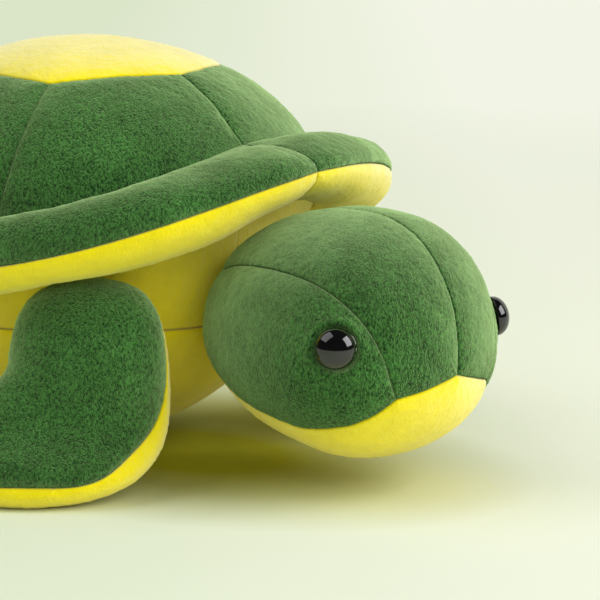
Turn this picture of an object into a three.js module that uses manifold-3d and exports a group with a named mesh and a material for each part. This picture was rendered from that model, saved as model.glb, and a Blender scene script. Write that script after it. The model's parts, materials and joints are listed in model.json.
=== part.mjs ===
// A plush sea turtle, sewn from short pile fabric over a loose fibre filling.
// Millimetres, +Z up. The nose points to -Y and the toy's left is +X. The toy lies on the plane z = 0
// on its belly and its four flippers, and the origin is on that plane under its middle.

import * as THREE from "three";
import { mergeVertices } from "three/addons/utils/BufferGeometryUtils.js";
import Module from "manifold-3d";

const { sin, cos, acos, abs, sqrt, PI, min, max } = Math;
const rad = THREE.MathUtils.degToRad;
const mix = THREE.MathUtils.lerp;

// Fabric and making
const fabric = 1.6; // backing and pile together
const seam = 0.3; // left open between two sewn edges
const fillingGap = 1.2; // filling to the back of the fabric
const flat = 0.5; // how far a soft form is pressed flat by the floor
const jointGap = 0.4; // between two stuffed forms that are sewn together and can rock

// Body: the stuffed bowl under the shell, with one seam round it
const bodyLength = 64; // centre to chest
const bodyWidth = 58; // centre to flank
const bodyDepth = 43.5; // seam to the lowest point of the belly
const bodySquareness = 1.7; // 2 is round, less is more pointed

// Shell: a dome whose outline at its widest is an ellipse
const domeLength = 75.9;
const domeWidth = 73.9;
const domeRise = 48.5; // widest place to the top
const domeTop = 128.7; // height of the top
const crownLength = 43.2; // centre to the front corner of the yellow hexagon
const crownWidth = 45.5; // the same for its corners at the sides, had they been straight out
const crownSwell = 0.08; // how far its edges curve out, as a share of the distance to the centre
const crownSpread = -3; // degrees that its corners at the sides lie apart from an even hexagon's
const sideSeamSpread = 6; // the same for the lower ends of the side seams

// Brim: the padded edge of the shell, lifted in front by the head
const brimLength = 103;
const brimWidth = 93;
const brimHeight = 62.5; // its outer seam at the back
const brimLift = 32; // how much higher the seam is in front
const brimTurn = 8; // degrees from the nose to the highest place, which lies to the toy's left
const brimUp = [15, 8.5]; // padding over the seam, at the back and in front
const brimDown = [9.3, 12]; // padding under the seam
const brimCrease = 140; // degrees round the padding from the outer seam to where it meets the shell or body

// Head: an egg with its blunt end in front
const headFront = 35.3; // widest place to the nose
const headBack = 57.6; // widest place to the neck
const headWidth = 41.4; // half widths
const headUp = 41.7;
const headDown = 32.4;
const headPitch = 6.3; // degrees, nose down
const headHeight = 43; // widest place over the floor
const neckAngle = 174; // degrees from the nose to the open edge of the neck
const mouthCorner = 32.3; // degrees from the nose to the corner of the mouth
const chinAngle = 110; // degrees round the head from the top to the chin seam, at the mouth
const chinDrop = 18; // degrees that the chin seam falls behind the mouth
const sideSeamAngle = 50; // degrees round the head from the top to the side seam, behind

// Eyes: domed safety eyes with a washer inside
const eyeDiameter = 12;
const eyeRise = 5;
const eyeAt = [61.2, 76]; // degrees from the nose, and round the head from the top
const shankDiameter = 4.2;
const shankLength = 9;
const washerDiameter = 15;
const washerThickness = 1.4;
const washerSlack = 0.7; // washer to the back of the fabric

// Flippers: padded paddles, seen from above, that lie down to the floor
const frontPaddle = {
  length: 76.5, // root to the far edge, along the paddle
  thickness: 24,
  lead: 25, // reach of the leading edge, the neck's trailing edge and the tip, from the middle line
  neck: 24.5,
  lobe: 31,
  lobeFrom: 0.36,
  lobeTo: 0.7,
  shift: 8, // how far the far edge moves to the trailing side
  offset: -5,
  azimuth: 47, // degrees from the nose
  rootHeight: 59,
  rootSlope: 12, // degrees below level at the root
  bend: 22, // length over which it bends down
  curl: 36, // length over which it levels out again at its far end
  tipSlope: -4,
  width: [2.7, 2.2], // how full its outline is, and its padding, at the root and at the far end: 2 is round
  padding: [2, 2.6],
  wrap: 30, // degrees that the underside reaches up round the leading corner
  facets: [6, 8], // across a panel, and along it
};
const rearPaddle = {
  length: 64,
  thickness: 18,
  lead: 18,
  neck: 16,
  lobe: 15,
  lobeFrom: 0.4,
  lobeTo: 0.8,
  shift: 4,
  offset: 0,
  azimuth: 142,
  rootHeight: 34,
  rootSlope: 10,
  bend: 18,
  curl: 24,
  tipSlope: 0,
  width: [2.4, 2.2],
  padding: [2.2, 2.5],
  wrap: 20,
  facets: [5, 6],
};

const green = { color: 0x42703a, roughness: 0.95, metalness: 0 };
const yellow = { color: 0xe4d846, roughness: 0.95, metalness: 0 };
const fibre = { color: 0xf3f2ec, roughness: 1, metalness: 0 };
const glossBlack = { color: 0x0a0a0b, roughness: 0.08, metalness: 0 };
const whitePlastic = { color: 0xe9e9e4, roughness: 0.4, metalness: 0 };

const at = (front, left, up) => new THREE.Vector3(left, -front, up);

// Solids from grids of points

// Joins triangles into one closed body that faces out.
function toGeometry(triangles) {
  const positions = [];
  let volume = 0;
  for (const [a, b, c] of triangles) {
    if (a.distanceTo(b) < 1e-5 || b.distanceTo(c) < 1e-5 || c.distanceTo(a) < 1e-5) continue;
    positions.push(...a.toArray(), ...b.toArray(), ...c.toArray());
    volume += a.dot(b.clone().cross(c)) / 6;
  }
  if (volume < 0) {
    for (let i = 0; i < positions.length; i += 9) {
      const first = positions.slice(i, i + 3);
      positions.splice(i, 3, ...positions.slice(i + 3, i + 6));
      positions.splice(i + 3, 3, ...first);
    }
  }
  const geometry = new THREE.BufferGeometry();
  geometry.setAttribute("position", new THREE.Float32BufferAttribute(positions, 3));
  return mergeVertices(geometry, 1e-4);
}

// Rows of points on a surface whose s and t run from 0 to 1. t may take places of its own.
function pointRows(point, columns, rows, depth) {
  const places = Array.isArray(rows) ? rows : Array.from({ length: rows + 1 }, (_, j) => j / rows);
  return places.map((t) => Array.from({ length: columns + 1 }, (_, i) => point(i / columns, t, depth)));
}

// The triangles between neighbouring rows of points
function facets(rows, turned = false) {
  const triangles = [];
  for (let j = 0; j + 1 < rows.length; j++) {
    for (let i = 0; i + 1 < rows[j].length; i++) {
      const [a, b, c, d] = [rows[j][i], rows[j][i + 1], rows[j + 1][i + 1], rows[j + 1][i]];
      triangles.push(...(turned ? [[a, c, b], [a, d, c]] : [[a, b, c], [a, c, d]]));
    }
  }
  return triangles;
}

// A sewn panel: the surface, the same surface one fabric deeper, and the cut edges between them
function panelGeometry(point, columns, rows, { ring = false } = {}) {
  const outside = pointRows(point, columns, rows, 0);
  const inside = pointRows(point, columns, rows, fabric);
  const edges = [[inside[0], outside[0], false], [inside.at(-1), outside.at(-1), true]];
  if (!ring) {
    const [first, last] = [(row) => row[0], (row) => row.at(-1)];
    edges.push([inside.map(first), outside.map(first), true], [inside.map(last), outside.map(last), false]);
  }
  const walls = edges.flatMap(([inner, outer, turned]) => facets([inner, outer], turned));
  return toGeometry([...facets(outside), ...facets(inside, true), ...walls]);
}

// A filling: the surface well inside the fabric, closed by itself
function fillingGeometry(point, columns, rows) {
  return toGeometry(facets(pointRows(point, columns, rows, fabric + fillingGap)));
}

function lengthOf(point) {
  const steps = 8;
  let length = 0;
  for (let i = 0; i < steps; i++) length += point(i / steps).distanceTo(point((i + 1) / steps));
  return length;
}

// Draws a patch in by half a seam along its edges, so that neighbours stay apart.
function sewn(point, { sides = true, start = true, end = true } = {}) {
  const half = (length) => min(0.45, seam / 2 / length);
  return (s, t, depth) => {
    const down = half(lengthOf((u) => point(0.5, u, 0)));
    const row = mix(start ? down : 0, end ? 1 - down : 1, t);
    const along = sides ? half(lengthOf((u) => point(u, row, 0))) : 0;
    return point(mix(along, 1 - along, s), row, depth);
  };
}

// Exact joining and cutting

const wasm = await Module();
wasm.setup();

function toSolid(geometry) {
  const bare = geometry.clone();
  bare.deleteAttribute("normal");
  bare.deleteAttribute("uv");
  const merged = mergeVertices(bare, 1e-4);
  return new wasm.Manifold(new wasm.Mesh({
    numProp: 3,
    vertProperties: new Float32Array(merged.attributes.position.array),
    triVerts: new Uint32Array(merged.index.array),
  }));
}

function fromSolid(solid) {
  const mesh = solid.getMesh();
  const geometry = new THREE.BufferGeometry();
  geometry.setAttribute("position", new THREE.BufferAttribute(new Float32Array(mesh.vertProperties), 3));
  geometry.setIndex(new THREE.BufferAttribute(new Uint32Array(mesh.triVerts), 1));
  return geometry;
}

const cut = (geometry, tool) => fromSolid(toSolid(geometry).subtract(toSolid(tool)));

// Takes off what would reach below the floor.
function pressedFlat(geometry) {
  const size = 4 * brimLength;
  return cut(geometry, new THREE.BoxGeometry(size, size, size).translate(0, 0, -size / 2));
}

// Body, brim and shell. Angles go round from the nose to the toy's left.

const lift = (angle) => ((1 + cos(angle - rad(brimTurn))) / 2) ** 4;
const brimSeamHeight = (angle) => brimHeight + brimLift * lift(angle);
const brimSeam = (angle) => at(brimLength * cos(angle), brimWidth * sin(angle), brimSeamHeight(angle));
const creaseHeight = (angle) => brimSeamHeight(angle) + mix(...brimUp, lift(angle)) * sin(rad(brimCrease));

// Dome by the angle down from its top. Past its widest place it goes straight down.
function domePoint(angle, down, depth) {
  const reach = sin(min(down, PI / 2));
  const height = down < PI / 2 ? (domeRise - depth) * cos(down) : -domeRise * (down - PI / 2);
  const front = (domeLength - depth) * reach * cos(angle);
  const left = (domeWidth - depth) * reach * sin(angle);
  return at(front, left, domeTop - domeRise + height);
}

// How far down the dome the crease with the brim is
function creaseDown(angle) {
  const over = (creaseHeight(angle) - (domeTop - domeRise)) / domeRise;
  return over > 0 ? acos(min(over, 1)) : PI / 2 - over;
}

// Brim padding by the angle round it from the outer seam, over the top to the crease with the shell
function brimPoint(angle, round, depth) {
  const outer = brimSeam(angle);
  const crease = domePoint(angle, creaseDown(angle), 0);
  const inward = crease.sub(outer).setZ(0);
  const halfWidth = inward.length() / (1 - cos(rad(brimCrease)));
  inward.normalize();
  const halfHeight = mix(...(round > 0 ? brimUp : brimDown), lift(angle));
  const out = halfWidth - (halfWidth - depth) * cos(round);
  return outer.addScaledVector(inward, out).add(at(0, 0, (halfHeight - depth) * sin(round)));
}

const bodyHeight = bodyDepth - flat;

// Body under its seam, by the angle down from the seam
function bellyPoint(angle, down, depth) {
  const power = 2 / bodySquareness;
  const reach = abs(cos(down)) ** power;
  const drop = (bodyDepth - depth) * abs(sin(down)) ** power;
  return at((bodyLength - depth) * reach * cos(angle), (bodyWidth - depth) * reach * sin(angle), bodyHeight - drop);
}

// Body over its seam, flaring out to the crease under the brim
function flankPoint(angle, rise, depth) {
  const low = bellyPoint(angle, 0, depth);
  const high = brimPoint(angle, -rad(brimCrease), 0);
  const inward = at(-cos(angle), -sin(angle), 0).multiplyScalar(depth);
  high.add(inward);
  const out = rise ** 1.4;
  return new THREE.Vector3(mix(low.x, high.x, out), mix(low.y, high.y, out), mix(low.z, high.z, rise));
}

// The body at a height, over or under its seam
function bodyAt(angle, height) {
  const top = brimPoint(angle, -rad(brimCrease), 0).z;
  if (height > bodyHeight) return flankPoint(angle, (height - bodyHeight) / (top - bodyHeight), 0);
  return bellyPoint(angle, Math.asin(((bodyHeight - height) / bodyDepth) ** (bodySquareness / 2)), 0);
}

// Angles of the seams between the six side panels, at the crown and at the brim
const cornerAngle = (k, spread) => (k * PI) / 3 + (rad(spread) * sin((2 * k * PI) / 3)) / sin((2 * PI) / 3);
const crownAngle = (k) => cornerAngle(k, crownSpread);
const brimAngle = (k) => cornerAngle(k, sideSeamSpread);

// The edge of the yellow hexagon from one corner to the next, where the dome's widest place is 1
function crownEdge(k, s) {
  const corner = (angle) => new THREE.Vector2(
    (crownLength / domeLength) * cos(angle),
    (crownWidth / domeWidth) * sin(angle),
  );
  const swell = 1 + crownSwell * 4 * s * (1 - s);
  return corner(crownAngle(k)).lerp(corner(crownAngle(k + 1)), s).multiplyScalar(swell);
}

function crownPoint(around, out, depth) {
  const k = min(5, Math.floor(around * 6));
  const edge = crownEdge(k, around * 6 - k);
  return domePoint(edge.angle(), Math.asin(edge.length() * out), depth);
}

function shellSidePoint(k, s, t, depth) {
  const edge = crownEdge(k, s);
  const edgeAngle = k === 5 && s === 1 ? 2 * PI : edge.angle();
  const low = mix(brimAngle(k), brimAngle(k + 1), s);
  return domePoint(mix(edgeAngle, low, t), mix(Math.asin(edge.length()), creaseDown(low), t), depth);
}

// The same places round half the brim as the side panels have at their lower edges
const columnsPerSide = 5;
const domeRows = 6;
const flankRows = 3;
const bellyRows = [0, 0.12, 0.3, 0.55, 0.85, 1]; // closer together where the belly turns most
function brimPlace(s, side) {
  const place = min(2, Math.floor(s * 3 + 1e-9));
  return side * mix(brimAngle(place), brimAngle(place + 1), s * 3 - place);
}

// The same places once round the toy, by the left and back by the right
const ringPlace = (s) => (s < 0.5 ? brimPlace(2 * s, 1) : brimPlace(2 - 2 * s, -1));

// Down the dome, down the flank and down the belly, in the rows of their panels. t counts the rows.
const torsoRows = Array.from({ length: domeRows + flankRows + bellyRows.length }, (_, row) => row);

function torsoFillingPoint(s, t, depth) {
  const angle = ringPlace(s);
  if (t < domeRows) return domePoint(angle, (creaseDown(angle) * t) / domeRows, depth);
  const flankRow = t - domeRows;
  if (flankRow < flankRows) return flankPoint(angle, 1 - flankRow / flankRows, depth);
  return bellyPoint(angle, bellyRows[flankRow - flankRows] * (PI / 2), depth);
}

// Head by the angle from its nose and the angle round it from the top to the toy's left

const neckHeight = headHeight + headBack * sin(rad(headPitch));
const headPlace = -bodyAt(0, neckHeight).y + jointGap + headBack * cos(rad(headPitch));

function headPoint(fromNose, round, depth) {
  const length = (cos(fromNose) > 0 ? headFront : headBack) - depth;
  const height = (cos(round) > 0 ? headUp : headDown) - depth;
  const front = length * cos(fromNose);
  const up = height * sin(fromNose) * cos(round);
  const left = (headWidth - depth) * sin(fromNose) * sin(round);
  const pitch = rad(headPitch);
  return at(
    headPlace + front * cos(pitch) + up * sin(pitch),
    left,
    headHeight - front * sin(pitch) + up * cos(pitch),
  );
}

// Seams of the head, as angles round it for an angle from the nose
const behindMouth = (fromNose) => max(0, fromNose - mouthCorner);
const chinSeam = (fromNose) => chinAngle + chinDrop * (1 - Math.exp(-behindMouth(fromNose) / 14));
function sideSeam(fromNose) {
  const rise = Math.exp(-((behindMouth(fromNose) / 8.7) ** 0.65));
  return fromNose < mouthCorner ? chinAngle : mix(sideSeamAngle, chinAngle, rise);
}

// Rows of the head's panels: three to the mouth's corner, one just behind it, and eight to the neck
const cheekStart = mouthCorner + 1.5;
const headRows = [0, 1 / 3, 2 / 3].map((share) => share * mouthCorner);
headRows.push(mouthCorner, cheekStart);
for (let i = 1; i <= 8; i++) headRows.push(mix(cheekStart, neckAngle, i / 8));

// A gore of the head between two seams, each given as an angle round the head
function gore(fromSeam, toSeam, start, end = neckAngle) {
  return (s, t, depth) => {
    const fromNose = mix(start, end, t);
    return headPoint(rad(fromNose), rad(mix(fromSeam(fromNose), toSeam(fromNose), s)), depth);
  };
}

function goreGeometry(fromSeam, toSeam, start, columns) {
  const places = headRows.filter((row) => row >= start).map((row) => (row - start) / (neckAngle - start));
  return panelGeometry(sewn(gore(fromSeam, toSeam, start), { end: false }), columns, places);
}

// Flippers. x runs out along the paddle from its root, y to the trailing side, both on a sheet that bends down.

// From 0 at the root up to 1 and down to 0 at the far end, fuller or rounder at each
function bulge(s, [root, far]) {
  const fullness = s < 0.5 ? root : far;
  return (1 - abs(2 * s - 1) ** fullness) ** (1 / fullness);
}

function paddleEdges(paddle, s) {
  const lobe = THREE.MathUtils.smoothstep(s, paddle.lobeFrom, paddle.lobeTo) * sqrt(max(0, 1 - s ** 12));
  const middle = paddle.offset + paddle.shift * s ** 6;
  const wide = bulge(s, paddle.width);
  return [middle - paddle.lead * wide, middle + paddle.neck * wide + paddle.lobe * lobe];
}

// A place on the bent sheet: how far out, how high, and how steeply it falls there. Its far end levels out.
function drape(paddle, slope, x) {
  const [from, to] = [rad(paddle.rootSlope), rad(paddle.tipSlope)];
  const bendRadius = paddle.bend / (slope - from);
  const curlRadius = paddle.curl / (slope - to);
  const bent = from + min(x, paddle.bend) / bendRadius;
  const straight = max(paddle.bend, min(x, paddle.length - paddle.curl)) - paddle.bend;
  const curled = slope - max(0, x - paddle.length + paddle.curl) / curlRadius;
  const bendOut = bendRadius * (sin(bent) - sin(from));
  const bendDown = bendRadius * (cos(from) - cos(bent));
  const curlOut = curlRadius * (sin(slope) - sin(curled));
  const curlDown = curlRadius * (cos(curled) - cos(slope));
  return {
    out: bendOut + straight * cos(slope) + curlOut,
    up: paddle.rootHeight - bendDown - straight * sin(slope) - curlDown,
    fall: bent + curled - slope,
  };
}

// How far out along the paddle's line, from the body's axis, its root meets the body
function rootReach(paddle, side) {
  const azimuth = rad(paddle.azimuth);
  const bodyThere = (angle) => bodyAt(side * angle, paddle.rootHeight).multiply(new THREE.Vector3(side, 1, 1));
  const out = at(cos(azimuth), sin(azimuth), 0);
  const trailing = at(-sin(azimuth), cos(azimuth), 0);
  let [ahead, behind] = [azimuth - 1, azimuth + 1];
  for (let i = 0; i < 24; i++) {
    const middle = (ahead + behind) / 2;
    if (bodyThere(middle).dot(trailing) < paddle.offset) ahead = middle;
    else behind = middle;
  }
  return bodyThere(ahead).dot(out);
}

// round goes round the paddle from its trailing edge over the top, t from the root to the far edge
function paddlePoint(paddle, root, slope, side, round, t, depth) {
  const s = (1 - cos(PI * t)) / 2;
  const inner = depth / paddle.length;
  const along = mix(inner, 1 - inner, s);
  const [lead, trail] = paddleEdges(paddle, s);
  const halfWidth = max(0, (trail - lead) / 2 - depth);
  const halfThickness = max(0, (paddle.thickness / 2) * bulge(s, paddle.padding) - depth);
  const y = (lead + trail) / 2 + halfWidth * cos(round);
  const n = halfThickness * sin(round);
  const place = drape(paddle, slope, along * paddle.length);
  const azimuth = rad(paddle.azimuth);
  const out = root + place.out + n * sin(place.fall);
  const up = place.up + n * cos(place.fall);
  return at(out * cos(azimuth) - y * sin(azimuth), side * (out * sin(azimuth) + y * cos(azimuth)), up);
}

// How far round the leading edge the underside reaches up, most near the far corner
const wrapped = (paddle, t) => rad(paddle.wrap) * sin(PI * t ** 2) ** 2;

// A panel of a paddle: its top (turn 1) runs forward from the trailing edge, its underside (turn -1) runs back
function paddlePanel(paddle, root, slope, side, turn) {
  return (s, t, depth) => {
    const forward = turn > 0 ? s : 1 - s;
    const round = (turn * PI - wrapped(paddle, t)) * forward;
    return paddlePoint(paddle, root, slope, side, round, t, depth);
  };
}

// The slope at which the paddle just lies on the floor
function restingSlope(paddle, root) {
  const lowest = (slope) => {
    const points = pointRows(paddlePanel(paddle, root, slope, 1, -1), ...paddle.facets, 0).flat();
    return min(...points.map((point) => point.z));
  };
  let [level, steep] = [rad(paddle.rootSlope + 1), rad(88)];
  for (let i = 0; i < 24; i++) {
    const middle = (level + steep) / 2;
    if (lowest(middle) > -flat) level = middle;
    else steep = middle;
  }
  return (level + steep) / 2;
}

// Assembly

const toy = new THREE.Group();
toy.name = "plush_turtle";

function add(name, geometry, look) {
  const mesh = new THREE.Mesh(geometry, new THREE.MeshStandardMaterial(look));
  mesh.name = name;
  toy.add(mesh);
}

function addShell() {
  const crown = sewn(crownPoint, { sides: false, start: false });
  add("shell_crown", panelGeometry(crown, 24, 2, { ring: true }), yellow);
  const names = ["front_left", "side_left", "rear_left", "rear_right", "side_right", "front_right"];
  names.forEach((name, k) => {
    const side = sewn((s, t, depth) => shellSidePoint(k, s, t, depth));
    add(`shell_${name}`, panelGeometry(side, columnsPerSide, 5), green);
  });
}

function addBrim() {
  const crease = rad(brimCrease);
  for (const [name, side] of [["left", 1], ["right", -1]]) {
    const upper = sewn((s, t, depth) => brimPoint(brimPlace(s, side), crease * t, depth));
    const lower = sewn((s, t, depth) => brimPoint(brimPlace(s, side), -crease * t, depth));
    add(`brim_upper_${name}`, panelGeometry(upper, 3 * columnsPerSide, 4), green);
    add(`brim_lower_${name}`, panelGeometry(lower, 3 * columnsPerSide, 3), yellow);
  }
  const padding = (s, t, depth) => {
    return brimPoint(ringPlace(s), t === 1 ? 0 : 2 * PI * t - (t > 0.5 ? 2 * PI : 0), depth);
  };
  add("brim_filling", fillingGeometry(padding, 6 * columnsPerSide, 5), fibre);
}

function addBody() {
  for (const [name, side] of [["left", 1], ["right", -1]]) {
    const flank = sewn((s, t, depth) => flankPoint(brimPlace(s, side), 1 - t, depth));
    add(`body_flank_${name}`, panelGeometry(flank, 3 * columnsPerSide, flankRows), yellow);
  }
  const belly = sewn((s, t, depth) => bellyPoint(ringPlace(s), (t * PI) / 2, depth), { sides: false, end: false });
  add("body_belly", pressedFlat(panelGeometry(belly, 6 * columnsPerSide, bellyRows, { ring: true })), yellow);
  add("torso_filling", fillingGeometry(torsoFillingPoint, 6 * columnsPerSide, torsoRows), fibre);
}

// Turns a shape that stands on z = 0 to stand on the head where the eye is.
function onEye(geometry, side) {
  const place = (a, b, depth) => headPoint(rad(eyeAt[0] + a), side * rad(eyeAt[1] + b), depth);
  const here = place(0, 0, 0);
  const alongNose = place(0.5, 0, 0).sub(here);
  const aroundHead = place(0, 0.5, 0).sub(here);
  const out = alongNose.cross(aroundHead).multiplyScalar(-side).normalize();
  const turn = new THREE.Quaternion().setFromUnitVectors(new THREE.Vector3(0, 0, 1), out);
  return geometry.applyQuaternion(turn).translate(here.x, here.y, here.z);
}

function eyeGeometry() {
  const points = [new THREE.Vector2(0, -shankLength)];
  points.push(new THREE.Vector2(shankDiameter / 2, -shankLength), new THREE.Vector2(shankDiameter / 2, seam));
  for (let i = 0; i <= 8; i++) {
    const angle = (i * PI) / 16;
    points.push(new THREE.Vector2((eyeDiameter / 2) * cos(angle), seam + 0.6 + (eyeRise - 0.6) * sin(angle)));
  }
  points.splice(3, 0, new THREE.Vector2(eyeDiameter / 2, seam));
  points[points.length - 1].x = 0;
  return new THREE.LatheGeometry(points, 20).rotateX(PI / 2);
}

function washerGeometry() {
  const [inner, outer] = [shankDiameter / 2 + seam, washerDiameter / 2];
  const top = -fabric - washerSlack - eyeSag;
  const low = top - washerThickness;
  const points = [[inner, low], [outer, low], [outer, top], [inner, top], [inner, low]];
  return new THREE.LatheGeometry(points.map(([x, y]) => new THREE.Vector2(x, y)), 20).rotateX(PI / 2);
}

// How far the head's surface falls away from a flat disc as wide as the washer
const eyeSag = (washerDiameter / 2) ** 2 / (2 * min(headWidth, headFront));

const plug = (diameter, length) => new THREE.CylinderGeometry(diameter / 2, diameter / 2, length, 20).rotateX(PI / 2);

function addHead() {
  const none = () => 0;
  let filling = fillingGeometry((s, t, depth) => headPoint(PI * t, 2 * PI * s, depth), 17, 11);
  for (const [name, side] of [["left", 1], ["right", -1]]) {
    const signed = (seamAngle) => (fromNose) => side * seamAngle(fromNose);
    add(`head_crown_${name}`, goreGeometry(none, signed(sideSeam), 0, 5), green);
    const hole = onEye(plug(shankDiameter + 2 * seam, 4 * fabric), side);
    const cheek = goreGeometry(signed(sideSeam), signed(chinSeam), cheekStart, 6);
    add(`head_cheek_${name}`, cut(cheek, hole), green);
    filling = cut(filling, onEye(plug(washerDiameter + 2 * seam, 2 * shankLength + 1), side));
    add(`eye_${name}`, onEye(eyeGeometry(), side), glossBlack);
    add(`eye_washer_${name}`, onEye(washerGeometry(), side), whitePlastic);
  }
  add("head_chin", goreGeometry(chinSeam, (fromNose) => 360 - chinSeam(fromNose), 0, 8), yellow);
  add("head_filling", filling, fibre);
}

function addFlippers() {
  for (const [place, paddle] of [["front", frontPaddle], ["rear", rearPaddle]]) {
    for (const [name, side] of [["left", 1], ["right", -1]]) {
      const root = rootReach(paddle, side) + jointGap;
      const slope = restingSlope(paddle, root);
      const [top, underside] = [1, -1].map((turn) => paddlePanel(paddle, root, slope, side, turn));
      const whole = (s, t, depth) => (s < 0.5 ? top(2 * s, t, depth) : underside(2 * s - 1, t, depth));
      const [columns, rows] = paddle.facets;
      const body = `flipper_${place}_${name}`;
      add(`${body}_top`, pressedFlat(panelGeometry(sewn(top), columns, rows)), green);
      add(`${body}_underside`, pressedFlat(panelGeometry(sewn(underside), columns, rows)), yellow);
      add(`${body}_filling`, fillingGeometry(whole, 2 * columns, rows), fibre);
    }
  }
}

addShell();
addBrim();
addBody();
addHead();
addFlippers();

// The origin goes under the middle of the toy's length and width.
const middle = new THREE.Box3().setFromObject(toy).getCenter(new THREE.Vector3());
toy.position.set(-middle.x, -middle.y, 0);

export default toy;
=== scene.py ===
"""A plush sea turtle: short pile fabric panels sewn over loose stuffing, with two domed plastic eyes.

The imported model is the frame. Each fabric panel, each stuffing and each eye stands for its own solid.
Lengths are in metres. The nose points to -Y, the toy's left is +X, and the toy lies on z = 0.
"""

import json
from math import asin, cos, pi, radians, sin

import bmesh
import bpy
import numpy as np
from bpy.props import FloatProperty, FloatVectorProperty, PointerProperty
from mathutils import Matrix, Vector


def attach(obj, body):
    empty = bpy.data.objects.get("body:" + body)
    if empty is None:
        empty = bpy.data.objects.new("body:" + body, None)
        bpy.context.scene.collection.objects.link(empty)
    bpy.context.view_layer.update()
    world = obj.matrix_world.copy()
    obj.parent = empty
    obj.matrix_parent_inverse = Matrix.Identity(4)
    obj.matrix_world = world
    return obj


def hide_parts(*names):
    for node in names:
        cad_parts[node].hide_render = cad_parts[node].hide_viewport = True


bl_info = {
    "name": "Plush Sea Turtle",
    "version": (1, 0, 0),
    "blender": (4, 5, 0),
    "location": "View3D > Sidebar > Turtle",
    "description": "Sews the panels of a plush sea turtle around its packed frame",
    "category": "Add Mesh",
}

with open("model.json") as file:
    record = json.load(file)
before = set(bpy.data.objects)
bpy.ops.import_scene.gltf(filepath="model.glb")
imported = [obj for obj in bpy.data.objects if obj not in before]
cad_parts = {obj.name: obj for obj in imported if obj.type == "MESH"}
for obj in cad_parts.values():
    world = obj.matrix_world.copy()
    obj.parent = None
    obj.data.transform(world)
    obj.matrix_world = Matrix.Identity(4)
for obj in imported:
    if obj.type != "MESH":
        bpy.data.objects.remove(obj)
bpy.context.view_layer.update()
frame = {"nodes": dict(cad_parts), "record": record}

# The upright axis through the body, which the belly rests under
AXIS_X, AXIS_Y, _ = frame["record"]["mounts"][0]["pos_m"]

SIDES = (("left", 1), ("right", -1))

# Level directions in the photograph, and how far its view is turned from one along +Y
RIGHT, FORWARD = (0.68, -0.733, 0), (0.733, 0.68, 0)
VIEW_TURN = radians(47.2)


def linear(colour):
    """An sRGB hex colour as linear red, green and blue."""
    parts = [int(colour[i : i + 2], 16) / 255 for i in (1, 3, 5)]
    return tuple(c / 12.92 if c <= 0.04045 else ((c + 0.055) / 1.055) ** 2.4 for c in parts)


def numeric(name, description, default, **limits):
    """A property for a number."""
    return FloatProperty(name=name, description=description, default=default, **limits)


def length(name, description, default):
    """A property for a length."""
    return numeric(name, description, default, min=0, unit="LENGTH", precision=5)


def position(name, description, default):
    """A property for a place along a line, which may lie on either side of 0."""
    return numeric(name, description, default, unit="LENGTH", precision=5)


def ratio(name, description, default):
    """A property for a plain number."""
    return numeric(name, description, default, min=-4, max=12, precision=3)


def degrees(name, description, default):
    """A property for an angle, given in degrees and kept in radians."""
    return numeric(name, description, radians(default), subtype="ANGLE")

def colour(name, description, default):
    """A property for a colour, given in sRGB hex."""
    return FloatVectorProperty(
        name=name, description=description, default=linear(default), size=3, min=0, max=1, subtype="COLOR"
    )


# Sizes and colours


class TURTLE_PG_fabric(bpy.types.PropertyGroup):
    thickness: length("Thickness", "Backing and pile together", 0.0016)
    weave: length("Mesh step", "Distance between neighbouring points of a panel", 0.00072)
    roll: length("Seam roll", "Radius at which a panel turns in to its seam", 0.0006)
    valley: length("Seam valley", "How far a panel sinks towards its seam", 0.001)
    reach: length("Valley reach", "How far from the seam the valley is felt", 0.003)
    pucker: length("Pucker", "Depth of the small gathers along a seam", 0.0003)
    gather: length("Gather width", "From one gather to the next", 0.006)
    unevenness: length("Unevenness", "How far the stuffing pushes the fabric in and out", 0.0007)
    lump: length("Lump width", "Width of the stuffing's lumps", 0.03)
    gap: length("Gap", "Between the fabric and the stuffing in it", 0.0012)
    joint_gap: length("Joint gap", "Between the body and what is hinged to it", 0.0004)
    nap: length("Nap", "Height of the tufts that the pile clings together in", 0.00022)
    tuft: length("Tuft width", "Width of one tuft", 0.0008)


class TURTLE_PG_body(bpy.types.PropertyGroup):
    length: length("Length", "Centre to chest", 0.064)
    width: length("Width", "Centre to flank", 0.058)
    depth: length("Depth", "Seam to the lowest point of the belly", 0.0435)
    flat: length("Flat", "How far the floor presses it flat", 0.0005)
    squareness: ratio("Squareness", "2 is round, less is more pointed", 1.7)


class TURTLE_PG_shell(bpy.types.PropertyGroup):
    length: length("Length", "Centre to the widest place in front", 0.0759)
    width: length("Width", "Centre to the widest place at the side", 0.0739)
    rise: length("Rise", "Widest place to the top", 0.0485)
    top: length("Top", "Height of the top over the floor", 0.1287)
    crown_length: length("Crown length", "Centre to the front corner of the yellow hexagon", 0.0432)
    crown_width: length("Crown width", "The same for its side corners, had they been straight out", 0.0455)
    crown_swell: ratio("Crown swell", "How far its edges curve out, as a share of their reach", 0.08)
    crown_spread: degrees("Crown spread", "How far its side corners lie apart from an even hexagon's", -3)
    seam_spread: degrees("Seam spread", "The same for the lower ends of the side seams", 6)


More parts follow.
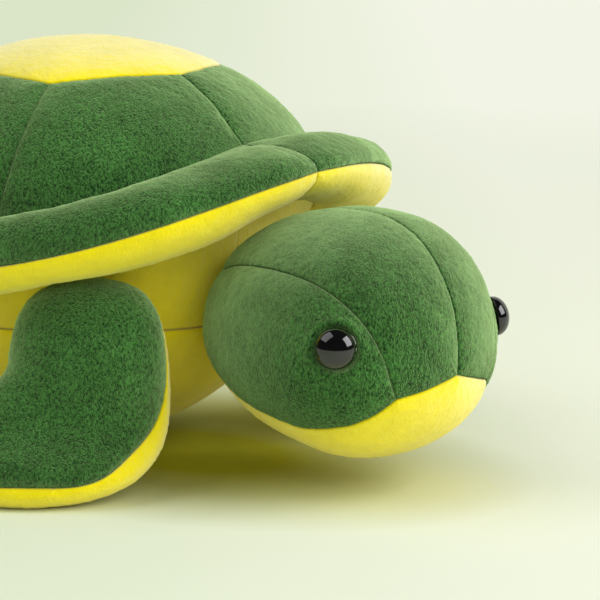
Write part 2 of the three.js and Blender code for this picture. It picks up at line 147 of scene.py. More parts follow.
class TURTLE_PG_brim(bpy.types.PropertyGroup):
    length: length("Length", "Centre to the outer seam in front", 0.103)
    width: length("Width", "Centre to the outer seam at the side", 0.093)
    height: length("Height", "Its outer seam at the back", 0.0625)
    lift: length("Lift", "How much higher the seam is in front", 0.032)
    turn: degrees("Turn", "From the nose to its highest place, which lies to the toy's left", 8)
    up_back: length("Padding up, behind", "Padding over the seam at the back", 0.015)
    up_front: length("Padding up, in front", "Padding over the seam in front", 0.0085)
    down_back: length("Padding down, behind", "Padding under the seam at the back", 0.0093)
    down_front: length("Padding down, in front", "Padding under the seam in front", 0.012)
    hang: length("Hang", "How much lower the padding hangs beside the head", 0.0028)
    crease: degrees("Crease", "Round the padding, from the outer seam to where it meets shell or body", 140)
    pinch: length("Pinch", "How deep the cross seams pull the padding in", 0.0013)
    pinch_width: length("Pinch width", "How far along the brim a pinch is felt", 0.007)


class TURTLE_PG_head(bpy.types.PropertyGroup):
    front: length("Front", "Widest place to the nose", 0.0353)
    back: length("Back", "Widest place to the neck", 0.0576)
    width: length("Half width", "Middle to the side", 0.0414)
    up: length("Up", "Middle to the top", 0.0417)
    down: length("Down", "Middle to the chin", 0.0324)
    pitch: degrees("Pitch", "Nose down", 6.3)
    height: length("Height", "Widest place over the floor", 0.043)
    neck: degrees("Neck", "From the nose to the open edge of the neck", 174)
    mouth_corner: degrees("Mouth corner", "From the nose to the corner of the mouth", 32.3)
    chin: degrees("Chin seam", "Round the head from the top to the chin seam", 110)
    chin_drop: degrees("Chin drop", "How far the chin seam falls behind the mouth", 18)
    side: degrees("Side seam", "Round the head from the top to the side seam, behind", 50)


class TURTLE_PG_eyes(bpy.types.PropertyGroup):
    diameter: length("Diameter", "Of the dome", 0.012)
    rise: length("Rise", "Of the dome over the fabric", 0.005)
    edge: length("Edge", "Height of the dome's straight edge", 0.0009)
    shank: length("Shank", "Diameter of the shank", 0.0042)
    shank_length: length("Shank length", "Under the fabric", 0.009)
    washer: length("Washer", "Diameter of the washer inside", 0.015)
    lift: length("Lift", "Height of the dome's underside over the fabric", 0.0003)
    from_nose: degrees("From the nose", "Angle from the nose to the eye", 61.2)
    from_top: degrees("From the top", "Angle round the head from the top to the eye", 76)
    sink: length("Sink", "How far the fabric dips round the eye", 0.0024)


# Each size of a flipper, with its values at the front and at the rear
FLIPPER_SIZES = {
    "length": (length, "Length", "Root to the far edge", 0.0765, 0.064),
    "thickness": (length, "Thickness", "At its thickest", 0.024, 0.018),
    "lead": (length, "Lead", "Middle line to the leading edge", 0.025, 0.018),
    "neck": (length, "Neck", "Middle line to the trailing edge near the root", 0.0245, 0.016),
    "lobe": (length, "Lobe", "What the trailing edge gains towards the tip", 0.031, 0.015),
    "lobe_from": (ratio, "Lobe from", "Where along the flipper the lobe starts", 0.36, 0.4),
    "lobe_to": (ratio, "Lobe to", "Where the lobe is whole", 0.7, 0.8),
    "shift": (length, "Shift", "How far the far edge moves to the trailing side", 0.008, 0.004),
    "offset": (position, "Offset", "Of the middle line to the trailing side", -0.005, 0),
    "azimuth": (degrees, "Azimuth", "From the nose round to the flipper", 47, 142),
    "root_height": (length, "Root height", "Of the root over the floor", 0.059, 0.034),
    "root_slope": (degrees, "Root slope", "Below level, at the root", 12, 10),
    "bend": (length, "Bend", "Length over which it bends down", 0.022, 0.018),
    "curl": (length, "Curl", "Length over which its far end levels out again", 0.036, 0.024),
    "tip_slope": (degrees, "Tip slope", "Below level, at the far end", -4, 0),
    "root_width": (ratio, "Fullness of the root", "Of its outline: 2 is round", 2.7, 2.4),
    "tip_width": (ratio, "Fullness of the tip", "Of its outline: 2 is round", 2.2, 2.2),
    "root_padding": (ratio, "Padding of the root", "How full it is from the side: 2 is round", 2.0, 2.2),
    "tip_padding": (ratio, "Padding of the tip", "How full it is from the side: 2 is round", 2.6, 2.5),
    "wrap": (degrees, "Wrap", "How far the underside reaches up round the leading corner", 30, 20),
}


def flipper_properties(pick):
    rows = FLIPPER_SIZES.items()
    return {key: kind(name, text, values[pick]) for key, (kind, name, text, *values) in rows}


class TURTLE_PG_front_flipper(bpy.types.PropertyGroup):
    __annotations__ = flipper_properties(0)


class TURTLE_PG_rear_flipper(bpy.types.PropertyGroup):
    __annotations__ = flipper_properties(1)


class TURTLE_PG_colours(bpy.types.PropertyGroup):
    # The tip and shade colours are the lit ends of the pile and the painted shade between its tufts
    green: colour("Green pile", "The lit tips of the green pile", "#457838")
    green_shade: colour("Green shade", "Between the tufts of the green pile", "#133013")
    # Each sheen colour tints the shader's sheen and is also painted into the colour as a painted sheen
    green_sheen: colour("Green sheen", "Green pile seen along its surface", "#b5d693")
    yellow: colour("Yellow pile", "The lit tips of the yellow pile", "#f1e118")
    yellow_shade: colour("Yellow shade", "Between the tufts of the yellow pile", "#f2dd0a")
    yellow_sheen: colour("Yellow sheen", "Yellow pile seen along its surface", "#fff7c4")
    # The board is painted darker to the left of the view: painted light falloff
    floor_left: colour("Floor, left", "Floor and backdrop at the left of the view", "#dbe5c8")
    floor_right: colour("Floor, right", "Floor and backdrop at the right of the view", "#f2f5e5")
    # Painted shadow on the board under the toy, tinted with painted yellow bounce light
    painted_yellow_floor_shadow: colour("Floor, glow", "Board that the yellow fabric throws its colour on", "#a9a825")


class TURTLE_PG_turtle(bpy.types.PropertyGroup):
    fabric: PointerProperty(type=TURTLE_PG_fabric)
    body: PointerProperty(type=TURTLE_PG_body)
    shell: PointerProperty(type=TURTLE_PG_shell)
    brim: PointerProperty(type=TURTLE_PG_brim)
    head: PointerProperty(type=TURTLE_PG_head)
    eyes: PointerProperty(type=TURTLE_PG_eyes)
    front_flipper: PointerProperty(type=TURTLE_PG_front_flipper)
    rear_flipper: PointerProperty(type=TURTLE_PG_rear_flipper)
    colours: PointerProperty(type=TURTLE_PG_colours)


def settings():
    return bpy.context.scene.turtle


# Forms. Each takes arrays of numbers and gives points. Angles go round from the nose to the toy's left,
# and depth is how far under the fabric's face the point lies.


def heading(front, left, up):
    """A step to the front, to the toy's left and up."""
    front, left, up = np.broadcast_arrays(front, left, up)
    return np.stack([left, -front, up], axis=-1)


def at(front, left, up):
    """A place by how far it is in front of the body's axis, to the toy's left and over the floor."""
    return heading(front, left, up) + (AXIS_X, AXIS_Y, 0)


def mix(a, b, share):
    return a + (b - a) * share


def smooth(value, low, high):
    share = np.clip((value - low) / (high - low), 0, 1)
    return share * share * (3 - 2 * share)


def which_part(place, count):
    """Which of a count of equal parts a place from 0 to 1 lies in, and how far along the part it is."""
    hair = 1e-9
    k = np.minimum(count - 1, np.floor(np.asarray(place) * count + hair))
    return k, place * count - k


def bisected(low, high, is_low, halvings=24):
    """The two ends of the little stretch where a value stops being too low."""
    for _ in range(halvings):
        middle = (low + high) / 2
        low, high = (middle, high) if is_low(middle) else (low, middle)
    return low, high


def lift(brim, angle):
    """The share of the brim's lift that its outer seam has at an angle."""
    return ((1 + np.cos(angle - brim.turn)) / 2) ** 4


def brim_seam(brim, angle):
    height = brim.height + brim.lift * lift(brim, angle)
    return at(brim.length * np.cos(angle), brim.width * np.sin(angle), height)


def dome_point(shell, angle, down, depth=0.0):
    """The dome by the angle down from its top. Past its widest place it goes straight down."""
    reach = np.sin(np.minimum(down, pi / 2))
    height = np.where(down < pi / 2, (shell.rise - depth) * np.cos(down), -shell.rise * (down - pi / 2))
    front = (shell.length - depth) * reach * np.cos(angle)
    left = (shell.width - depth) * reach * np.sin(angle)
    return at(front, left, shell.top - shell.rise + height)


def crease_down(turtle, angle):
    """How far down the dome its crease with the brim is."""
    shell, brim = turtle.shell, turtle.brim
    padding = mix(brim.up_back, brim.up_front, lift(brim, angle)) * sin(brim.crease)
    over = (brim_seam(brim, angle)[..., 2] + padding - (shell.top - shell.rise)) / shell.rise
    return np.where(over > 0, np.arccos(np.clip(over, 0, 1)), pi / 2 - over)


def past(angle, low, high):
    """From 0 to 1 where the angle from the nose, on either side, grows from low to high in degrees."""
    return smooth(-np.cos(angle), -cos(radians(low)), -cos(radians(high)))


def brim_hang(brim, angle, turn):
    """How much lower the padding hangs: beside the head, but not over the flippers or at the crease."""
    return brim.hang * past(angle, 5, 20) * (1 - past(angle, 30, 55)) * smooth(turn, -brim.crease, -pi / 2)


def brim_point(turtle, angle, turn, depth=0.0):
    """The brim's padding by the angle round it from the outer seam, up and over or down and under."""
    brim = turtle.brim
    outer = brim_seam(brim, angle)
    inward = dome_point(turtle.shell, angle, crease_down(turtle, angle)) - outer
    inward[..., 2] = 0
    across = np.linalg.norm(inward, axis=-1, keepdims=True)
    half_width = across[..., 0] / (1 - cos(brim.crease))
    up = mix(brim.up_back, brim.up_front, lift(brim, angle))
    down = mix(brim.down_back, brim.down_front, lift(brim, angle)) + brim_hang(brim, angle, turn)
    half_height = np.where(turn > 0, up, down)
    out = half_width - (half_width - depth) * np.cos(turn)
    rise = (half_height - depth) * np.sin(turn)
    return outer + inward / across * out[..., None] + heading(0, 0, rise)


def belly_point(body, angle, down, depth=0.0):
    """The body under its seam, by the angle down from the seam."""
    power = 2 / body.squareness
    reach = np.abs(np.cos(down)) ** power
    drop = (body.depth - depth) * np.abs(np.sin(down)) ** power
    front = (body.length - depth) * reach * np.cos(angle)
    left = (body.width - depth) * reach * np.sin(angle)
    return at(front, left, body.depth - body.flat - drop)


def flank_point(turtle, angle, rise, depth=0.0):
    """The body over its seam, flaring out to the crease under the brim."""
    low = belly_point(turtle.body, angle, 0.0, depth)
    high = brim_point(turtle, angle, -turtle.brim.crease) - depth * heading(np.cos(angle), np.sin(angle), 0)
    flare = 1.4
    out = np.broadcast_to(np.maximum(rise, 0) ** flare, low.shape[:-1])
    rise = np.broadcast_to(rise, low.shape[:-1])
    share = np.stack([out, out, rise], axis=-1)
    return mix(low, high, share)


def body_at(turtle, angle, height):
    """The body at a height, over or under its seam."""
    angle = np.float64(angle)
    seam_height = turtle.body.depth - turtle.body.flat
    top = brim_point(turtle, angle, -turtle.brim.crease)[..., 2]
    if height > seam_height:
        return flank_point(turtle, angle, (height - seam_height) / (top - seam_height))
    down = asin(((seam_height - height) / turtle.body.depth) ** (turtle.body.squareness / 2))
    return belly_point(turtle.body, angle, down)


def corner_angle(k, spread):
    """The angle of seam number k round the shell. The four at its sides lie apart by the spread."""
    return k * pi / 3 + spread * np.sin(2 * k * pi / 3) / sin(2 * pi / 3)


def brim_angle(shell, k):
    return corner_angle(k, shell.seam_spread)


def crown_edge(shell, k, s):
    """The angle and reach of an edge of the yellow hexagon. The dome's widest place has a reach of 1."""
    here, there = corner_angle(k, shell.crown_spread), corner_angle(k + 1, shell.crown_spread)
    across = shell.crown_length / shell.length * mix(np.cos(here), np.cos(there), s)
    aside = shell.crown_width / shell.width * mix(np.sin(here), np.sin(there), s)
    angle = np.arctan2(aside, across)
    angle = angle + 2 * pi * np.round(((here + there) / 2 - angle) / (2 * pi))
    return angle, np.hypot(across, aside) * (1 + shell.crown_swell * 4 * s * (1 - s))


def crown_point(shell, around, out, depth=0.0):
    angle, reach = crown_edge(shell, *which_part(around, 6))
    return dome_point(shell, angle, np.arcsin(reach * out), depth)


def shell_side_point(turtle, k, s, t, depth=0.0):
    shell = turtle.shell
    edge_angle, reach = crown_edge(shell, k, s)
    low = mix(brim_angle(shell, k), brim_angle(shell, k + 1), s)
    down = mix(np.arcsin(reach), crease_down(turtle, low), t)
    return dome_point(shell, mix(edge_angle, low, t), down, depth)


def head_place(head):
    """How far the head's widest place is in front of the body's axis. The neck just clears the body."""
    turtle = settings()
    neck_height = head.height + head.back * sin(head.pitch)
    chest = AXIS_Y - body_at(turtle, 0, neck_height)[1]
    return chest + turtle.fabric.joint_gap + head.back * cos(head.pitch)


def head_point(head, from_nose, around, depth=0.0):
    """The head by the angle from its nose and the angle round it from the top to the toy's left."""
    front = (np.where(np.cos(from_nose) > 0, head.front, head.back) - depth) * np.cos(from_nose)
    height = np.where(np.cos(around) > 0, head.up, head.down) - depth
    up = height * np.sin(from_nose) * np.cos(around)
    left = (head.width - depth) * np.sin(from_nose) * np.sin(around)
    ahead = head_place(head) + front * cos(head.pitch) + up * sin(head.pitch)
    return at(ahead, left, head.height - front * sin(head.pitch) + up * cos(head.pitch))


def behind_mouth(head, from_nose):
    """How far behind the corner of the mouth, in degrees."""
    return np.degrees(np.maximum(0, from_nose - head.mouth_corner))


def chin_seam(head, from_nose):
    """The seam between cheek and chin, round from the top. It falls off behind the mouth, ever less."""
    within = 14
    return head.chin + head.chin_drop * (1 - np.exp(-behind_mouth(head, from_nose) / within))


def side_seam(head, from_nose):
    """The seam between crown and cheek, round from the top. It rises behind the mouth, fast at first."""
    within, sharpness = 8.7, 0.65
    rise = np.exp(-((behind_mouth(head, from_nose) / within) ** sharpness))
    return np.where(from_nose < head.mouth_corner, head.chin, mix(head.side, head.chin, rise))


def gore(head, from_seam, to_seam, start):
    """The place of a strip of the head between two seams."""

    def place(s, t, depth=0.0):
        from_nose = mix(start, head.neck, t)
        return head_point(head, from_nose, mix(from_seam(from_nose), to_seam(from_nose), s), depth)

    return place


def bulge(s, root, far):
    """From 0 at the root up to 1 and down to 0 at the far end, fuller or rounder at each."""
    fullness = np.where(s < 0.5, root, far)
    return (1 - np.abs(2 * s - 1) ** fullness) ** (1 / fullness)


def paddle_root(turtle, paddle, side):
    """How far out along the flipper's line its root meets the body."""
    out = heading(cos(paddle.azimuth), sin(paddle.azimuth), 0)
    trailing = heading(-sin(paddle.azimuth), cos(paddle.azimuth), 0)

    def from_axis(angle):
        return (body_at(turtle, side * angle, paddle.root_height) - (AXIS_X, AXIS_Y, 0)) * (side, 1, 1)

    def is_ahead(angle):
        return np.dot(from_axis(angle), trailing) < paddle.offset

    ahead, _ = bisected(paddle.azimuth - 1, paddle.azimuth + 1, is_ahead)
    return np.dot(from_axis(ahead), out)


def drape(paddle, slope, x):
    """How far out and how high a flipper's sheet is, x along it from the root, and how steeply it falls."""
    bend_radius = paddle.bend / (slope - paddle.root_slope)
    curl_radius = paddle.curl / (slope - paddle.tip_slope)
    bent = paddle.root_slope + np.minimum(x, paddle.bend) / bend_radius
    straight = np.clip(x, paddle.bend, paddle.length - paddle.curl) - paddle.bend
    curled = slope - np.maximum(0, x - paddle.length + paddle.curl) / curl_radius
    out = bend_radius * (np.sin(bent) - sin(paddle.root_slope)) + straight * cos(slope)
    out = out + curl_radius * (sin(slope) - np.sin(curled))
    up = paddle.root_height - bend_radius * (cos(paddle.root_slope) - np.cos(bent)) - straight * sin(slope)
    up = up - curl_radius * (np.cos(curled) - cos(slope))
    return out, up, bent + curled - slope


def paddle_point(paddle, root, slope, side, turn, t, depth=0.0):
    """A flipper: turn goes round it from its trailing edge over the top, t from the root to the far edge."""
    s = (1 - np.cos(pi * t)) / 2
    inner = depth / paddle.length
    # A high power of s is felt at the far end only
    lobe = smooth(s, paddle.lobe_from, paddle.lobe_to) * np.sqrt(np.maximum(0, 1 - s**12))
    middle = paddle.offset + paddle.shift * s**6
    wide = bulge(s, paddle.root_width, paddle.tip_width)
    lead = middle - paddle.lead * wide
    trail = middle + paddle.neck * wide + paddle.lobe * lobe
    across = (lead + trail) / 2 + np.maximum(0, (trail - lead) / 2 - depth) * np.cos(turn)
    thick = bulge(s, paddle.root_padding, paddle.tip_padding)
    rise = np.maximum(0, paddle.thickness / 2 * thick - depth) * np.sin(turn)
    out, up, fall = drape(paddle, slope, mix(inner, 1 - inner, s) * paddle.length)
    out = root + out + rise * np.sin(fall)
    azimuth = paddle.azimuth
    front = out * cos(azimuth) - across * sin(azimuth)
    return at(front, side * (out * sin(azimuth) + across * cos(azimuth)), up + rise * np.cos(fall))


def paddle_panel(paddle, root, slope, side, turn):
    """The top of a flipper (turn 1), forward from its trailing edge, or its underside (-1), back to it."""

    def place(s, t, depth=0.0):
        forward = s if turn > 0 else 1 - s
        wrapped = paddle.wrap * np.sin(pi * t**2) ** 2
        return paddle_point(paddle, root, slope, side, (turn * pi - wrapped) * forward, t, depth)

    return place


def resting_slope(turtle, paddle, root):
    """The slope at which the flipper just lies on the floor."""
    all_round, outer_part = np.linspace(0, 2 * pi, 49), np.linspace(0.3, 1, 36)
    turn, t = np.meshgrid(all_round, outer_part)

    def is_clear(slope):
        return paddle_point(paddle, root, slope, 1, turn, t)[..., 2].min() > -turtle.body.flat

    level, steep = bisected(paddle.root_slope + radians(1), radians(88), is_clear)
    return (level + steep) / 2


# Making fabric panels

LATTICE = np.random.default_rng(7).random((64, 64, 64))

# How many places measure a surface roughly and finely before its grid is laid out, and the stuffing's grid
PANEL_SAMPLES = (61, 801)
FIBRE_SAMPLES = (41, 401)
FIBRE_STEP = 0.0022

# How far in a lapped edge is held, how far from a seam lumps grow in, and how far off a seam is felt
HELD_WIDTH = 0.005
LUMPS_FROM = 0.008
SEAM_FELT = 0.01


def noise(points, size):
    """Smooth random numbers from -1 to 1 that change over about this size."""
    place = np.asarray(points) / size
    low = np.floor(place).astype(int)
    share = place - low
    share = share * share * (3 - 2 * share)
    total = np.zeros(len(place))
    for corner in np.ndindex(2, 2, 2):
        weight = np.prod(np.where(corner, share, 1 - share), axis=-1)
        total += weight * LATTICE[tuple(((low + corner) % len(LATTICE)).T)]
    return 2 * total - 1


def stations(line, step, starts_sewn, ends_sewn):
    """Places from 0 to 1 along a line of points, a step apart and closer together where it is sewn."""
    run = np.concatenate([[0], np.cumsum(np.linalg.norm(np.diff(line, axis=0), axis=-1))])
    near = 0.0016
    density = 1 + 2 * starts_sewn * np.exp(-run / near) + 2 * ends_sewn * np.exp((run - run[-1]) / near)
    counted = np.concatenate([[0], np.cumsum((density[1:] + density[:-1]) / 2 * np.diff(run))])
    count = max(6, round(counted[-1] / step))
    return np.interp(np.linspace(0, counted[-1], count + 1), counted, np.linspace(0, 1, len(line)))


def facing(place, s, t, depth=0.0):
    """Unit vectors that point out of the surface. Across a side edge, neighbouring panels give the same."""
    step, inward = 2e-4, 0.0005
    flat, least = 1e-13, 1e-15
    across = place(s + step, t, depth) - place(s - step, t, depth)
    along = place(s, np.minimum(t + step, 1), depth) - place(s, np.maximum(t - step, 0), depth)
    out = place(s, t, depth) - place(s, t, depth + inward)
    out /= np.linalg.norm(out, axis=-1, keepdims=True)
    normal = np.cross(across, along)
    size = np.linalg.norm(normal, axis=-1, keepdims=True)
    normal = np.where(size < flat, out, normal / np.maximum(size, least))
    return normal * np.where(np.sum(normal * out, axis=-1, keepdims=True) < 0, -1, 1)


def along_rows(points, axis):
    """How far each point is from the first and from the last one of its line."""
    steps = np.linalg.norm(np.diff(points, axis=axis), axis=-1)
    run = np.cumsum(steps, axis=axis)
    zero = np.zeros_like(np.take(run, [0], axis=axis))
    run = np.concatenate([zero, run], axis=axis)
    return run, np.take(run, [-1], axis=axis) - run


def mesh_from(bm, name):
    mesh = bpy.data.meshes.new(name)
    bm.to_mesh(mesh)
    bm.free()
    return mesh


def add_object(mesh):
    """Adds a mesh to the scene, with smooth shading."""
    mesh.polygons.foreach_set("use_smooth", np.ones(len(mesh.polygons), dtype=bool))
    obj = bpy.data.objects.new(mesh.name, mesh)
    bpy.context.scene.collection.objects.link(obj)
    return obj


def grid_mesh(name, points):
    """A mesh over rows and columns of points. Each point keeps its number in an attribute."""
    rows, columns = points.shape[0] - 1, points.shape[1] - 1
    bm = bmesh.new()
    bmesh.ops.create_grid(bm, x_segments=columns, y_segments=rows, size=0.5)
    mesh = mesh_from(bm, name)
    flat = np.empty(len(mesh.vertices) * 3)
    mesh.vertices.foreach_get("co", flat)
    column, row = np.rint((flat.reshape(-1, 3)[:, :2] + 0.5) * (columns, rows)).astype(int).T
    mesh.vertices.foreach_set("co", points[row, column].ravel())
    number = mesh.attributes.new("number", "INT", "POINT")
    number.data.foreach_set("value", row * (columns + 1) + column)
    return mesh


def closed(mesh, outward, thickness=0.0, hole=None):
    """Joins the mesh where its edges meet, turns it to face out and gives it its thickness."""
    bm = bmesh.new()
    bm.from_mesh(mesh)
    bmesh.ops.remove_doubles(bm, verts=bm.verts[:], dist=2e-6)
    if hole:
        middle, radius = hole
        cut = [face for face in bm.faces if (face.calc_center_median() - middle).length < radius]
        bmesh.ops.delete(bm, geom=cut, context="FACES")
    number = bm.verts.layers.int["number"]
    leaning = sum(face.normal.dot(Vector(outward[face.verts[0][number]])) for face in bm.faces)
    if leaning < 0:
        bmesh.ops.reverse_faces(bm, faces=bm.faces[:])
    if thickness:
        bm.normal_update()
        bmesh.ops.solidify(bm, geom=bm.faces[:], thickness=thickness)
    bm.to_mesh(mesh)
    bm.free()


def read_points(mesh):
    """The mesh's points and their numbers."""
    points = np.empty(len(mesh.vertices) * 3)
    mesh.vertices.foreach_get("co", points)
    number = np.empty(len(mesh.vertices), dtype=np.int32)
    mesh.attributes["number"].data.foreach_get("value", number)
    return points.reshape(-1, 3), number


def finish_mesh(mesh, points, floor=0.0):
    """Puts the points back, none under the floor, and adds the piece to the scene."""
    points[:, 2] = np.maximum(points[:, 2], floor)
    mesh.vertices.foreach_set("co", points.ravel())
    mesh.attributes.remove(mesh.attributes["number"])
    mesh.update()
    return add_object(mesh)


def spaced_grid(place, step, samples, sewn=(), middle=0.5, depth=0.0):
    """Points about a step apart on a surface, and the way out at each. A sewn edge has them closer."""
    rough, fine = [np.linspace(0, 1, count) for count in samples]
    points = place(*np.meshgrid(rough, rough), depth)
    widths = np.linalg.norm(np.diff(points, axis=1), axis=-1).sum(axis=1)
    across = place(fine, np.full(len(fine), rough[widths.argmax()]), depth)
    along = place(np.full(len(fine), middle), fine, depth)
    s, t = np.meshgrid(
        stations(across, step, "left" in sewn, "right" in sewn),
        stations(along, step, "start" in sewn, "end" in sewn),
    )
    return place(s, t, depth), facing(place, s, t, depth)


def fabric_panel(name, place, sewn, lapped=(), uneven=1.0, pinch=None, eye=None, step=1.0):
    """A panel of fabric with its own thickness. It turns in where it is sewn, and meets what it laps on.

    place gives the surface for s across the panel and t along it, both from 0 to 1. sewn and lapped name
    edges: left and right, where s is 0 and 1, and start and end, where t is. step widens the mesh.
    """
    fabric = settings().fabric
    points, out = spaced_grid(place, step * fabric.weave, PANEL_SAMPLES, sewn)
    from_left, from_right = along_rows(points, 1)
    from_start, from_end = along_rows(points, 0)
    away = {"left": from_left, "right": from_right, "start": from_start, "end": from_end}
    seam = np.minimum.reduce([away[edge] for edge in sewn])
    held = np.ones_like(seam)
    for edge in lapped:
        held = held * smooth(away[edge], 0, HELD_WIDTH)

    # The stuffing pushes the middle of the panel out and the seams pull in
    where = points.reshape(-1, 3)
    lumps = 0.65 * noise(where, fabric.lump) + 0.35 * noise(where + 0.31, 0.4 * fabric.lump)
    gathers = noise(where + 0.57, fabric.gather)
    lumps, gathers = lumps.reshape(seam.shape), gathers.reshape(seam.shape)
    sink = fabric.valley * np.exp(-seam / fabric.reach)
    sink += fabric.pucker * gathers * np.exp(-seam / (1.6 * fabric.reach))
    sink -= uneven * fabric.unevenness * lumps * (1 - np.exp(-seam / LUMPS_FROM))
    if pinch:
        sink += pinch(from_left, from_right)
    if eye:
        # The fabric dips under the eye, swells a little round it and bends sharply at its edge
        from_eye, edge = np.linalg.norm(points - eye["place"], axis=-1), eye["radius"]
        sink += eye["sink"] * (1 - smooth(from_eye, edge, 1.2 * edge))
        sink -= 0.15 * eye["sink"] * np.exp(-(((from_eye - 1.35 * edge) / (0.2 * edge)) ** 2))
        # The eye's edge counts as a seam, so the pile gets a ring of painted shade round the dome
        seam = np.minimum(seam, np.abs(from_eye - 1.02 * edge))
    points = points - out * (sink * held)[..., None]

    mesh = grid_mesh(name, points)
    flat_out = out.reshape(-1, 3)
    hole = (Vector(eye["place"]), eye["hole"]) if eye else None
    closed(mesh, flat_out, fabric.thickness, hole)

    # Only the face of the fabric rolls in to the seam and has tufts
    co, index = read_points(mesh)
    outside = np.linalg.norm(co - points.reshape(-1, 3)[index], axis=-1) < 0.5 * fabric.thickness
    near = seam.ravel()[index]
    rolled = np.clip(fabric.roll - near, 0, fabric.roll)
    roll = fabric.roll - np.sqrt(fabric.roll**2 - rolled**2)
    tufts = 0.6 * noise(co + 0.13, fabric.tuft) + 0.4 * noise(co + 0.77, 2.3 * fabric.tuft)
    rise = fabric.nap * tufts * held.ravel()[index] - roll
    co = co + flat_out[index] * (outside * rise)[:, None]
    distance = mesh.attributes.new("seam_distance", "FLOAT", "POINT")
    distance.data.foreach_set("value", np.minimum(near, SEAM_FELT).astype(np.float32))
    return finish_mesh(mesh, co)


def stuffing(name, place, dents=()):
    """A closed, lumpy body of loose fibre a little way under the fabric."""
    fabric = settings().fabric
    depth = fabric.thickness + fabric.gap
    points, out = spaced_grid(place, FIBRE_STEP, FIBRE_SAMPLES, middle=0.25, depth=depth)
    where = points.reshape(-1, 3)
    # Clumps 11 mm wide and tangles 4 mm wide make it uneven
    sink = 0.00035 * noise(where, 0.011) + 0.0002 * noise(where + 0.4, 0.004)
    for middle, radius, deep in dents:
        near = np.linalg.norm(where - middle, axis=-1)
        sink = sink + deep * (1 - smooth(near, 0.85 * radius, 1.25 * radius))
    points = points - out * sink.reshape(points.shape[:2])[..., None]
    mesh = grid_mesh(name, points)
    closed(mesh, out.reshape(-1, 3))
    co, _ = read_points(mesh)
    return finish_mesh(mesh, co, fabric.thickness)


# Materials

# The sockets of a Mix node for colours, whose names its other sockets share
SHARE, FROM_COLOUR, TO_COLOUR, MIXED = 0, 6, 7, 2


def set_inputs(node, inputs):
    """Gives each named input a value, or the output of another node."""
    for socket, given in inputs.items():
        if isinstance(given, bpy.types.NodeSocket):
            node.id_data.links.new(given, node.inputs[socket])
        else:
            node.inputs[socket].default_value = given


def add_node(owner, kind, inputs=None, output=0, **settings):
    """Adds a node to a material or world, with its settings and inputs, and gives one of its outputs."""
    node = owner.node_tree.nodes.new(f"ShaderNode{kind}")
    for name, value in settings.items():
        setattr(node, name, value)
    set_inputs(node, inputs or {})
    return node.outputs[output]


def new_material(name, colour_value, finish):
    """A material whose plain values are on its shader's own sockets, its shader, and a point's place."""
    material = bpy.data.materials.new(name)
    material.use_nodes = True
    shader = material.node_tree.nodes["Principled BSDF"]
    set_inputs(shader, {"Base Color": (*colour_value, 1), **finish})
    return material, shader, add_node(material, "TexCoord", output="Object")


def stretch(value, low, high, to_low=0.0, to_high=1.0):
    """What a Map Range node needs to turn low to high into to_low to to_high."""
    return {"Value": value, "From Min": low, "From Max": high, "To Min": to_low, "To Max": to_high}


def features(place, size, detail=1.0, distortion=0.0):
    """What a Noise Texture needs for features about this many metres wide."""
    return {"Vector": place, "Scale": 1 / size, "Detail": detail, "Distortion": distortion}


def two_colours(share, low, high):
    """What a Mix node needs to go from one colour to another."""
    return {SHARE: share, FROM_COLOUR: (*low, 1), TO_COLOUR: (*high, 1)}


